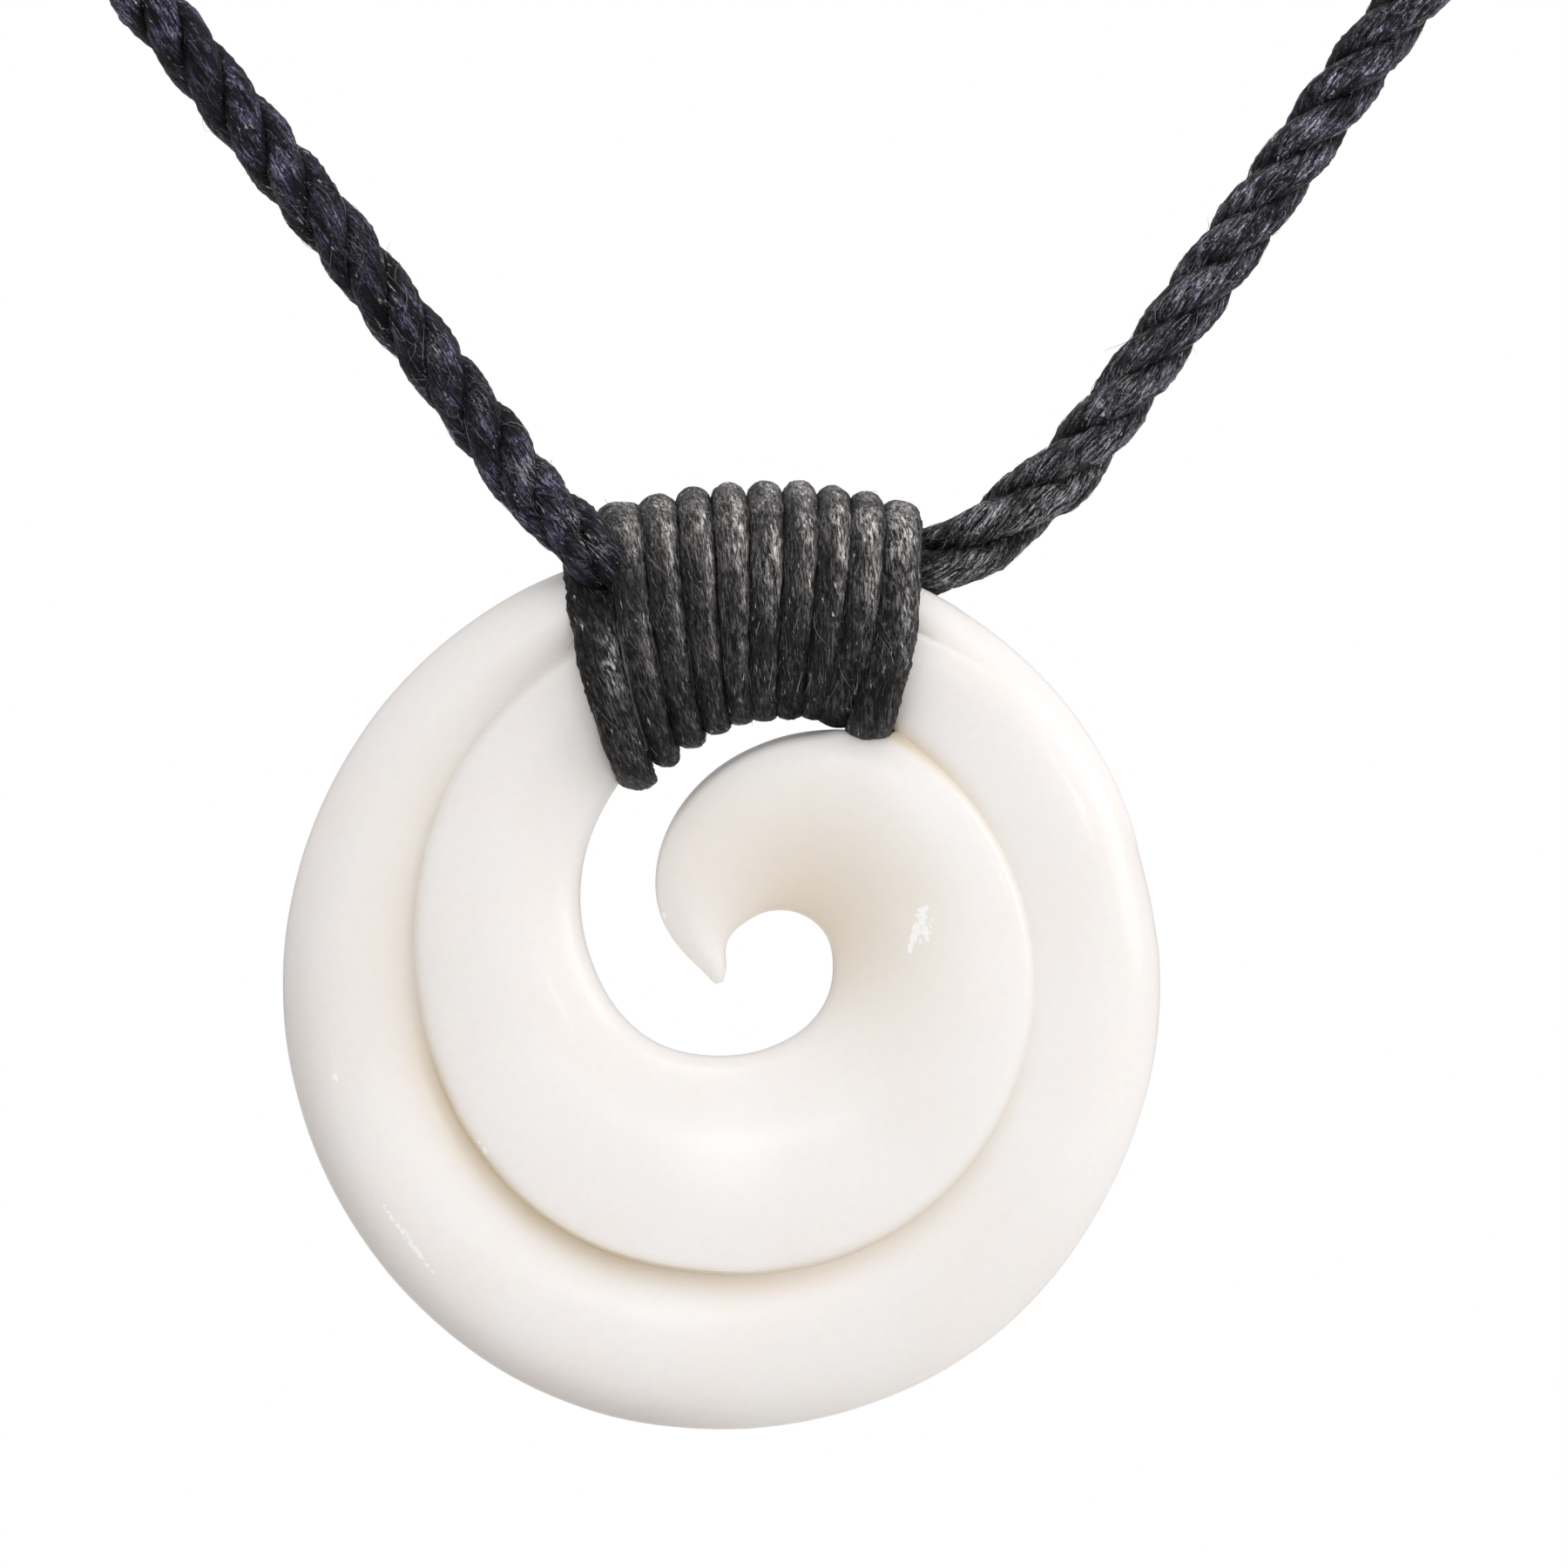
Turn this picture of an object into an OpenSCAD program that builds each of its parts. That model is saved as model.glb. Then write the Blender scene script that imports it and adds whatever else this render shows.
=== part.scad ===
// Carved bone spiral pendant, lashed with waxed strand to a laid neck cord.
// Millimetres, +Z up, the carved face towards -Y, the origin in the clasp at the nape.

/* [Bone] */
// Width of the bone disc
disc_w = 32; // [30:0.5:34]
// Height of the coil's crown above the middle of the bone
crown_h = 2.2; // [1.8:0.1:2.4]
// How deep the back is carved, as a share of the front
back_share = 0.9; // [0.7:0.05:0.95]

/* [Lashing] */
// Thickness of the waxed strand
strand_d = 1.1; // [0.9:0.05:1.15]

/* [Cord] */
// Diameter of the laid neck cord
cord_d = 2.3; // [2:0.1:2.3]
// Drop from the nape to the middle of the bone disc
drop = 162; // [150:1:175]
// Width of the cord's loop between its centre lines
loop_w = 143; // [130:1:155]

/* [Clasp] */
// Length of the barrel clasp
clasp_l = 14; // [12:0.5:18]
// Diameter of the barrel clasp
clasp_d = 5; // [4:0.25:6]

/* [Hidden] */

// The tables below are drawn for a disc 32 wide with a crown of 2.2
wide = disc_w / 32;
high = crown_h / 2.2;
// The bone hangs in front of the cord, which lies against the back of its upper rim
bone_y = -2.6;
// The middle of the spiral, from the middle of the disc
eye = [1.8, 1.0];
// The turn angle runs from the hook's tip outwards, clockwise as seen from the front
tip_turn = 198;
turn_step = 7.5;
per_turn = 360 / turn_step;
// Stations where the opening closes on the coil, and where the crease runs out at the rim
closing = 18;
fading = 72;
last = fading + per_turn;
// Stations between which the two turns flow together, and the crease fades out
merge_from = 64;
merge_to = 68;
// Where the crown lies in the section that two turns share
merged_at = 0.6;
// Width of the carved crease between two turns, and the share that is left where it has faded
crease_w = 0.12;
faded_share = 0.25;

// Inner edge of the bar while it borders the opening
// turn angle, radius from the eye
opening = [
    [198, 1.85], [180, 1.65], [150, 1.85], [120, 1.85], [90, 2.00], [60, 2.15], [30, 2.25],
    [0, 2.20], [-30, 2.30], [-60, 2.50], [-90, 2.90], [-120, 3.75], [-150, 5.20], [-180, 6.50],
    [-210, 7.90], [-240, 9.10], [-255, 9.80], [-270, 10.30], [-285, 10.45], [-292, 10.40],
    [-297, 9.75]
];

// Outer edge of the bar: the coil's own edge, then the crease, then the rim of the disc
// turn angle, radius from the eye
edge = [
    [198, 2.15], [180, 2.70], [150, 4.90], [120, 6.75], [90, 8.30], [62, 9.42], [45, 9.35],
    [30, 9.30], [0, 9.42], [-30, 9.86], [-60, 10.48], [-90, 11.10], [-105, 11.40], [-120, 11.92],
    [-135, 12.34], [-150, 12.57], [-180, 12.92], [-210, 13.45], [-240, 13.50], [-270, 13.25],
    [-300, 13.25], [-315, 13.62], [-330, 13.95], [-342, 14.08], [-360, 14.22], [-390, 14.75],
    [-420, 15.85], [-450, 16.87], [-480, 17.78], [-510, 18.03], [-540, 17.90], [-570, 17.27],
    [-600, 16.42], [-630, 15.43], [-660, 14.75], [-690, 14.32], [-702, 14.21], [-720, 14.22]
];

// Relief of the carved face
// turn angle, height at the inner edge, the crown's height and place, height at the outer edge
relief = [
    [198, 0.25, 0.30, 0.50, 0.25], [180, 0.35, 0.70, 0.50, 0.40], [150, 0.40, 1.20, 0.55, 0.70],
    [120, 0.40, 1.60, 0.65, 1.10], [90, 0.45, 1.90, 0.75, 1.50], [60, 0.50, 2.10, 0.75, 1.75],
    [0, 0.60, 2.20, 0.65, 1.90], [-60, 0.80, 2.20, 0.55, 1.85], [-120, 0.90, 2.20, 0.50, 1.80],
    [-180, 0.90, 2.10, 0.50, 1.50], [-210, 0.85, 2.00, 0.52, 1.52], [-240, 0.80, 1.90, 0.55, 1.62],
    [-270, 0.95, 1.88, 0.55, 1.60], [-300, 1.35, 1.85, 0.60, 1.45], [-330, 1.55, 1.80, 0.60, 0.85],
    [-342, 1.60, 1.80, 0.60, 0.40], [-360, 1.62, 1.80, 0.58, 0.40], [-390, 1.55, 1.75, 0.55, 0.40],
    [-420, 1.45, 1.70, 0.52, 0.40], [-450, 1.32, 1.70, 0.52, 0.40], [-480, 1.10, 1.70, 0.55, 0.40],
    [-510, 1.05, 1.68, 0.58, 0.40], [-540, 1.12, 1.65, 0.58, 0.40], [-570, 1.18, 1.65, 0.54, 0.40],
    [-600, 1.10, 1.60, 0.45, 0.40], [-630, 1.15, 1.50, 0.40, 0.40], [-660, 1.25, 1.42, 0.35, 0.40],
    [-690, 0.90, 0.95, 0.30, 0.40], [-702, 0.50, 0.51, 0.50, 0.40]
];
// Where the points of one section lie, from the inner edge to the outer one
across = [0, 0.1, 0.3, 0.55, 0.8, 0.93, 1];
// How full the section is between an edge and the crown
fullness = 0.75;

// Wraps of the lashing, left to right, on the carved face
// foot x, foot z, top x, top z, all on the strand's outside, from the middle of the disc
wraps = [
    [-3.05, 7.25, -4.70, 17.85], [-2.28, 8.10, -3.25, 18.12], [-1.42, 8.80, -2.00, 18.35],
    [-0.50, 9.35, -0.75, 18.65], [0.36, 9.75, 0.55, 18.75], [1.20, 9.90, 1.85, 18.80],
    [2.15, 10.00, 3.12, 18.75], [3.15, 10.00, 4.35, 18.55], [4.10, 9.85, 5.60, 18.35],
    [4.99, 9.60, 6.85, 17.95]
];
// How far the first and the last wrap bow sideways halfway up
bow = [-0.4, 0.3];
// One wrap round the bone and the cord, from the middle of the carved face, down first
// share of the way up, depth
around = [
    [0.42, -5.15], [0.26, -5.15], [0.11, -4.80], [0.02, -3.90], [0.00, -2.60], [0.03, -1.10],
    [0.19, -0.25], [0.37, 0.35], [0.55, 1.25], [0.71, 1.80], [0.86, 1.85], [0.96, 1.25],
    [1.00, 0.20], [0.98, -1.35], [0.94, -3.05], [0.84, -4.40], [0.69, -5.00], [0.56, -5.12]
];
// The strand starts under the cord above the first wrap, and ends tucked in at the back
first_wrap = -0.2;
last_wrap = 9.5;
// The first wrap has no neighbour on its left, and lies flatter and wider by this much
first_extra = 0.45;
// Rings in each wrap, sides of the strand, and the room between two wraps
wrap_rings = 16;
strand_sides = 8;
wrap_gap = 0.05;
// Share of its thickness that the strand keeps where it is pressed flat at the foot of a wrap
foot_share = 0.64;

// Route of each half of the cord, from where they meet under the lashing
// x, depth, z, all from the middle of the disc
left_under = [
    [0.6, 0, 16.2], [-1.0, 0, 16.2], [-2.5, 0, 15.9], [-4.0, -0.2, 15.6], [-5.3, -0.9, 16.2],
    [-6.4, -1.9, 17.4]
];
right_under = [
    [0.6, 0, 16.2], [2.2, 0, 16.2], [3.9, 0, 15.9], [5.5, 0, 15.6], [7.2, 0, 15.6],
    [8.8, 0, 16.2]
];
left_loop = [
    [-7.7, -2.3, 19.4], [-9.3, -1.8, 21.5], [-11.0, -1.0, 23.8], [-13.8, -0.3, 27.4],
    [-17.0, 0, 31.3], [-21.5, 0, 36.8], [-28, 0, 43.5], [-36, 0, 51], [-44.5, 0, 59],
    [-53, 0, 68], [-60.5, 0, 78.5], [-66.5, 0, 90], [-70.5, 0, 102], [-71.5, 0, 114.5],
    [-69, 0, 126.5], [-63, 0, 137.5], [-54, 0, 146.5], [-43, 0, 153.3], [-31, 0, 158],
    [-20, 0, 161]
];
right_loop = [
    [10.6, 0, 17.5], [12.4, 0, 19.0], [13.8, 0, 20.7], [15.2, 0, 22.6], [18.0, 0, 26.5],
    [21.1, 0, 30.8], [25.5, 0, 36.8], [31.5, 0, 43.8], [39, 0, 51.3], [47, 0, 59.5],
    [54.5, 0, 68.5], [61.5, 0, 79], [67, 0, 90.3], [70.5, 0, 102], [71.5, 0, 114.5],
    [69, 0, 126.5], [63, 0, 137.5], [54, 0, 146.5], [43, 0, 153.3], [31, 0, 158],
    [20, 0, 161]
];
cord_sides = 8;
// Longest stretch of cord between two rings
ring_room = 8;
// Straight stretch of cord at the clasp
straight_l = 6;
// Round of the clasp's ends
clasp_round = 1;

// Index of the row before an angle, in a table whose angles run downwards
function row_at(table, a, i = 0) =
    i >= len(table) - 2 || a > table[i + 1][0] ? i : row_at(table, a, i + 1);

// Slope of a column at row i of a table
function slope(table, column, i) =
    let (before = max(i - 1, 0), after = min(i + 1, len(table) - 1))
    (table[after][column] - table[before][column]) / (table[after][0] - table[before][0]);

// A column's value at an angle, on a smooth curve through the rows
function value(table, column, a) =
    let (
        i = row_at(table, a),
        span = table[i + 1][0] - table[i][0],
        t = (a - table[i][0]) / span,
        from = table[i][column],
        to = table[i + 1][column],
        leave = slope(table, column, i) * span,
        arrive = slope(table, column, i + 1) * span
    )
    from + t * leave + t * t * (3 * (to - from) - 2 * leave - arrive)
        + t * t * t * (leave + arrive - 2 * (to - from));

// Radius of the bar's two edges at a station
function outer_r(k) = value(edge, 1, tip_turn - k * turn_step);
function inner_r(k) =
    k <= closing + per_turn ? value(opening, 1, tip_turn - k * turn_step)
        : outer_r(k - per_turn) + crease_w * (1 - (1 - faded_share) * merged(k - per_turn));

// Share by which a station's section has flowed into the one outside it
function merged(k) =
    let (t = min(max((k - merge_from) / (merge_to - merge_from), 0), 1))
    t * t * (3 - 2 * t);

// Height a share s of the way across a section with a crown between its two edges
function section_h(inner, crown, at, outer, s) =
    s < at
        ? inner + (crown - inner) * pow(sin(90 * s / at), fullness)
        : outer + (crown - outer) * pow(cos(90 * (s - at) / (1.0001 - at)), fullness);

// Height of one turn's own section at a station
function own_h(k, s) =
    let (a = tip_turn - k * turn_step)
    section_h(
        value(relief, 1, a), value(relief, 2, a), value(relief, 3, a), value(relief, 4, a), s
    );

// Height of the section from a turn's inner edge to the rim, where the crease has faded out
function merged_h(k, r) =
    let (
        a = tip_turn - k * turn_step,
        from = inner_r(k),
        to = outer_r(k + per_turn),
        s = min(max((r - from) / (to - from), 0), 1)
    )
    section_h(
        value(relief, 1, a), value(relief, 2, a), merged_at,
        value(relief, 4, a - 360), s
    );

// Height of the carved face at a station, a share s of the way across
function face_h(k, s) =
    let (
        within = k > fading ? k - per_turn : k,
        share = merged(within),
        r = inner_r(k) + (outer_r(k) - inner_r(k)) * s,
        own = own_h(k, s)
    )
    high * (share == 0 ? own : own + (merged_h(within, r) - own) * share);

// One point of the bone: station, column, and which face it is on
function bone_point(k, j, back) =
    let (
        a = tip_turn - k * turn_step,
        s = across[j],
        r = inner_r(k) + (outer_r(k) - inner_r(k)) * s,
        h = face_h(k, s)
    )
    [wide * (eye[0] + r * cos(a)), back ? back_share * h : -h, wide * (eye[1] + r * sin(a))];

columns = len(across);
// Numbers of a point on the front and on the back
function front(k, j) = k * 2 * columns + j;
function behind(k, j) = front(k, j) + columns;
function pair(q) = [[q[0], q[1], q[2]], [q[0], q[2], q[3]]];

bone_points = [
    for (k = [0:last], back = [false, true], j = [0:columns - 1]) bone_point(k, j, back)
];
out = columns - 1;
bone_quads = [
    // The two carved faces
    for (k = [0:last - 1], j = [0:out - 1])
        [front(k, j), front(k, j + 1), front(k + 1, j + 1), front(k + 1, j)],
    for (k = [0:last - 1], j = [0:out - 1])
        [behind(k, j), behind(k + 1, j), behind(k + 1, j + 1), behind(k, j + 1)],
    // The free outer edge: along the opening, and round the rim
    for (k = [0:last - 1]) if (k < closing || k >= fading)
        [front(k + 1, out), front(k, out), behind(k, out), behind(k + 1, out)],
    // The inner edge along the opening
    for (k = [0:closing + per_turn - 1])
        [front(k, 0), front(k + 1, 0), behind(k + 1, 0), behind(k, 0)],
    // The crease, where a turn meets the one outside it, on both faces
    for (k = [closing:fading - 1])
        [front(k + 1, out), front(k, out), front(k + per_turn, 0), front(k + per_turn + 1, 0)],
    for (k = [closing:fading - 1])
        [behind(k, out), behind(k + 1, out), behind(k + per_turn + 1, 0), behind(k + per_turn, 0)],
    // The end of the opening
    [
        front(closing, out), behind(closing, out),
        behind(closing + per_turn, 0), front(closing + per_turn, 0)
    ],
    // The hook's tip, and the thin end of the outer turn
    for (j = [0:out - 1]) [front(0, j + 1), front(0, j), behind(0, j), behind(0, j + 1)],
    [front(fading, out), front(last, 0), behind(last, 0), behind(fading, out)],
    for (j = [0:out - 1]) [front(last, j), front(last, j + 1), behind(last, j + 1), behind(last, j)]
];

// A column of the wraps at any place along the lashing
function wrap_value(column, u) =
    let (place = min(max(u, 0), len(wraps) - 1), i = min(floor(place), len(wraps) - 2))
    wraps[i][column] + (wraps[i + 1][column] - wraps[i][column]) * (place - i);

// A column of one wrap at a share of its way round
function around_value(column, u) =
    let (n = len(around), p = (u - floor(u)) * n, i = floor(p))
    around[i % n][column] + (around[(i + 1) % n][column] - around[i % n][column]) * (p - i);

// What is left of the first wrap's extra width after u wraps
function extra_w(u) = first_extra * min(max((0.24 - u) / 0.22, 0), 1);

// Centre of the strand after u wraps
function strand_at(u) =
    let (
        up = around_value(0, u),
        aside = bow[0] + (bow[1] - bow[0]) * u / (len(wraps) - 1),
        low = wrap_value(1, u) + strand_d * foot_share / 2,
        top = wrap_value(3, u) - strand_d / 2
    )
    [
        wide * (
            wrap_value(0, u) + (wrap_value(2, u) - wrap_value(0, u)) * up
                + aside * sin(180 * up) - extra_w(u) / 2
        ),
        around_value(1, u),
        wide * (low + (top - low) * up)
    ];

// Distance between two neighbouring wraps in a column, at any place along the lashing
function pitch(column, u) =
    let (place = min(max(u, 0.5), len(wraps) - 1.5))
    wrap_value(column, place + 0.5) - wrap_value(column, place - 0.5);
// The strand is squeezed narrow between its neighbours, and flat where it passes the opening
function strand_w(u) =
    let (up = around_value(0, u), spread = (bow[1] - bow[0]) / (len(wraps) - 1))
    wide * (
        pitch(0, u) + (pitch(2, u) - pitch(0, u)) * up + spread * sin(180 * up) + extra_w(u)
    ) - wrap_gap;
function strand_t(u) = strand_d * min(1, foot_share + 2 * around_value(0, u));

function unit(v) = v / norm(v);

// A ring of points round a centre line, with a side direction, a width and a thickness
function ring(at, along, side, w, t, sides) =
    let (x = unit(side - (side * along) * along), y = cross(along, x))
    [
        for (i = [0:sides - 1])
            at + x * w / 2 * cos(360 * i / sides) + y * t / 2 * sin(360 * i / sides)
    ];

function along_line(line, i) =
    unit(line[min(i + 1, len(line) - 1)] - line[max(i - 1, 0)]);

function tube_points(line, side, widths, heights, sides) = [
    for (
        i = [0:len(line) - 1],
        p = ring(line[i], along_line(line, i), side, widths[i], heights[i], sides)
    ) p
];
function tube_faces(rings, sides) = [
    [for (i = [0:sides - 1]) i],
    for (r = [0:rings - 2], i = [0:sides - 1], f = pair([
        r * sides + i,
        (r + 1) * sides + i,
        (r + 1) * sides + (i + 1) % sides,
        r * sides + (i + 1) % sides
    ])) f,
    [for (i = [sides - 1:-1:0]) (rings - 1) * sides + i]
];

// A smooth point between b and c, led in by a and out by d
function between(a, b, c, d, t) =
    b + t / 2 * (c - a) + t * t / 2 * (2 * a - 5 * b + 4 * c - d)
        + t * t * t / 2 * (3 * b - a - 3 * c + d);

function smooth_line(p) = [
    for (
        i = [0:len(p) - 2],
        parts = [ceil(norm(p[i + 1] - p[i]) / ring_room)],
        j = [0:parts - 1]
    )
        between(p[max(i - 1, 0)], p[i], p[i + 1], p[min(i + 2, len(p) - 1)], j / parts),
    p[len(p) - 1]
];

// One half of the cord in the part's own frame, which runs straight into the clasp
function route(under, loop, side) = smooth_line([
    for (p = under) [wide * p[0], p[1], wide * p[2] - drop],
    for (p = loop) [p[0] * loop_w / 143, p[1], (p[2] - 162) * drop / 162],
    [side * (clasp_l / 2 + straight_l), 0, 0],
    [side * clasp_l / 2, 0, 0]
]);

module cord_half(under, loop, side) {
    line = route(under, loop, side);
    flat = [for (p = line) cord_d];
    color("#2a2a30")
        polyhedron(
            tube_points(line, [0, 1, 0], flat, flat, cord_sides),
            tube_faces(len(line), cord_sides)
        );
}

module koru() {
    color("#efece6")
        translate([0, bone_y, -drop])
            polyhedron(bone_points, [for (q = bone_quads, f = pair(q)) f]);
}

module lashing() {
    steps = [for (u = [first_wrap:1 / wrap_rings:last_wrap]) u];
    line = [for (u = steps) strand_at(u)];
    widths = [for (u = steps) strand_w(u)];
    heights = [for (u = steps) strand_t(u)];
    color("#3a3838")
        translate([0, 0, -drop])
            polyhedron(
                tube_points(line, [1, 0, 0], widths, heights, strand_sides),
                tube_faces(len(line), strand_sides)
            );
}

module cord_left() { cord_half(left_under, left_loop, -1); }

module cord_right() { cord_half(right_under, right_loop, 1); }

module clasp() {
    r = clasp_d / 2;
    color("#33312f")
        rotate([0, 90, 0])
            rotate_extrude($fn = 48)
                polygon([
                    [0, -clasp_l / 2], [r - clasp_round, -clasp_l / 2], [r, clasp_round - clasp_l / 2],
                    [r, clasp_l / 2 - clasp_round], [r - clasp_round, clasp_l / 2], [0, clasp_l / 2]
                ]);
}

koru();
lashing();
cord_left();
cord_right();
clasp();
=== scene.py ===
# %% [markdown]
# # Carved bone spiral on a laid cord
# The necklace is a flat spiral of polished bone, lashed with waxed strand to a dark laid
# cord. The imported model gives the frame: each piece below goes where its solid already is,
# in metres, with the origin in the clasp at the nape.

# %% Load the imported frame
import math

import bpy
import numpy as np
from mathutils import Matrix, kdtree


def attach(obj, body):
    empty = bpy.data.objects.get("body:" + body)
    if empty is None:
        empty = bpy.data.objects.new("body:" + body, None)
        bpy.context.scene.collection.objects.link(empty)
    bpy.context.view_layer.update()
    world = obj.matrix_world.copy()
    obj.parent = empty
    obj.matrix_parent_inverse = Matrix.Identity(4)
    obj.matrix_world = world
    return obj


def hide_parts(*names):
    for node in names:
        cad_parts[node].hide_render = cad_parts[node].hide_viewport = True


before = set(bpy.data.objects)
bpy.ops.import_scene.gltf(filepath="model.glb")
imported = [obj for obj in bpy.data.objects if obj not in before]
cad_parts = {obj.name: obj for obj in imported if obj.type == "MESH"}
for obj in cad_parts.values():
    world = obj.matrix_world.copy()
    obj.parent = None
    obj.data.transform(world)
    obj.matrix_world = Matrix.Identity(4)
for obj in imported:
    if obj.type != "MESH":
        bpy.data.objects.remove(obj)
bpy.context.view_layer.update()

MM = 0.001

# %% [markdown]
# ## Camera
# The photograph looks straight at the carved face, with a long lens and hardly any
# perspective. A camera could be placed by eye, but here its numbers follow from the width
# that the picture shows, so the likeness can be checked by measuring.

# %% Camera straight in front, 57 mm of view
DROP = 162 * MM
view_width = 57.14 * MM
view_middle = (2.25 * MM, 7.65 * MM - DROP)
face_depth = -4 * MM
camera_distance = 0.7
sensor_width = 36


def deselect():
    """Leaves object mode with nothing selected."""
    if bpy.context.object and bpy.context.object.mode != "OBJECT":
        bpy.ops.object.mode_set(mode="OBJECT")
    bpy.ops.object.select_all(action="DESELECT")


def select(piece):
    """Makes one piece the only selected and active one."""
    deselect()
    piece.select_set(True)
    bpy.context.view_layer.objects.active = piece


deselect()
bpy.ops.object.camera_add(
    location=(view_middle[0], face_depth - camera_distance, view_middle[1]),
    rotation=(math.pi / 2, 0, 0),
)
camera = bpy.context.object
camera.data.sensor_width = sensor_width
camera.data.lens = sensor_width * camera_distance / view_width
bpy.context.scene.camera = camera
print("Lens:", round(camera.data.lens), "mm")

# %% [markdown]
# ## Routes
# A cord or a strand is a line with something round it, so the line comes first. The route
# points are those of the part's source. A smooth curve through them is cut into even steps,
# so that every ring of the tube has the same room.


# %% A smooth line in even steps
def smooth_line(points, step):
    """Even steps along the smooth curve through the points, and the length at each step."""
    p = np.array(points, float)
    p = np.vstack([p[:1], p, p[-1:]])
    t = np.linspace(0, 1, 24, endpoint=False)[:, None]
    runs = [
        b + t / 2 * (c - a) + t**2 / 2 * (2 * a - 5 * b + 4 * c - d)
        + t**3 / 2 * (3 * b - a - 3 * c + d)
        for a, b, c, d in zip(p, p[1:], p[2:], p[3:])
    ]
    dense = np.vstack(runs + [p[-1:]])
    along = np.r_[0, np.cumsum(np.linalg.norm(np.diff(dense, axis=0), axis=1))]
    even = np.linspace(0, along[-1], int(round(along[-1] / step)) + 1)
    return np.stack([np.interp(even, along, dense[:, i]) for i in range(3)], axis=1), even


def directions(line, side):
    """Along the line, to its side, and square to both, at each of its points."""
    along = np.gradient(line, axis=0)
    along /= np.linalg.norm(along, axis=1, keepdims=True)
    x = side - (along * side).sum(1, keepdims=True) * along
    x /= np.linalg.norm(x, axis=1, keepdims=True)
    return along, x, np.cross(along, x)


# %% The two halves of the cord
# x, depth, z from the middle of the disc, in millimetres, close to the part's source:
# the soft left half lies a little further forward, over the rim of the bone
left_under = [
    (0.6, 0, 16.2), (-1.0, -0.1, 16.2), (-2.0, -0.8, 15.9), (-2.9, -2.3, 15.5),
    (-3.75, -3.8, 15.35), (-4.8, -4.25, 16.2), (-6.07, -3.7, 17.5),
]
right_under = [
    (0.6, 0, 16.2), (2.2, 0, 16.2), (3.9, 0, 15.9), (5.5, 0, 15.6), (7.2, 0, 15.6),
    (8.8, 0, 16.2),
]
left_loop = [
    (-6.95, -3.1, 18.3), (-8.46, -2.2, 20.4), (-10.0, -1.4, 22.4), (-13.8, -0.3, 27.4),
    (-17.0, 0, 31.3), (-21.5, 0, 36.8), (-28, 0, 43.5), (-36, 0, 51), (-44.5, 0, 59),
    (-53, 0, 68), (-60.5, 0, 78.5), (-66.5, 0, 90), (-70.5, 0, 102), (-71.5, 0, 114.5),
    (-69, 0, 126.5), (-63, 0, 137.5), (-54, 0, 146.5), (-43, 0, 153.3), (-31, 0, 158),
    (-20, 0, 161), (-13, 0, 162), (-7, 0, 162),
]
right_loop = [
    (10.6, 0, 17.5), (12.4, 0, 19.0), (13.8, 0, 20.7), (15.2, 0, 22.6), (18.0, 0, 26.5),
    (21.1, 0, 30.8), (25.5, 0, 36.8), (31.5, 0, 43.8), (39, 0, 51.3), (47, 0, 59.5),
    (54.5, 0, 68.5), (61.5, 0, 79), (67, 0, 90.3), (70.5, 0, 102), (71.5, 0, 114.5),
    (69, 0, 126.5), (63, 0, 137.5), (54, 0, 146.5), (43, 0, 153.3), (31, 0, 158),
    (20, 0, 161), (13, 0, 162), (7, 0, 162),
]
cord_step = 0.22
left_line, left_at = smooth_line(left_under + left_loop, cord_step)
right_line, right_at = smooth_line(right_under + right_loop, cord_step)
print("Cord halves:", round(left_at[-1], 1), "and", round(right_at[-1], 1), "mm long")

# %% [markdown]
# ## Laid cord
# The real cord is three soft strands laid round each other, with a lump where each strand
# comes to the front. A plain tube with a painted twist would look flat at its outline, so
# each strand is swept as its own tube round the cord's line. Fibres run slightly across a
# strand, and each point keeps how far round and how far along it lies, in an attribute that
# the fibre pattern reads.


# %% Unevenness along a strand
lump_lengths = (1.7, 2.9, 4.6, 7.9)


def lumps(at, seed, size, spread=1.0):
    """A smooth uneven factor along a strand, about 1."""
    draw = np.random.default_rng(seed)
    total = np.zeros_like(at)
    for wave in lump_lengths:
        total += np.sin(2 * np.pi * (at / (wave * spread) + draw.random())) * draw.uniform(0.5, 1)
    return 1 + size * total / 2


print("Lumps every", lump_lengths, "mm")

# %% Sweep a strand along a line
ridge_counts = (3, 5, 8)
ridge_height = 0.07
cotton_noise = 0.025
thick_and_thin = 0.05
fibre_radius = 0.6
any_turn = 6.28


def swept_faces(rings, sides):
    """Four-sided faces from ring to ring, and a cap at each end."""
    faces = []
    for r in range(rings - 1):
        for i in range(sides):
            j = (i + 1) % sides
            faces.append((r * sides + i, (r + 1) * sides + i, (r + 1) * sides + j, r * sides + j))
    faces.append(tuple(range(sides)))
    faces.append(tuple((rings - 1) * sides + i for i in reversed(range(sides))))
    return faces


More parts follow.
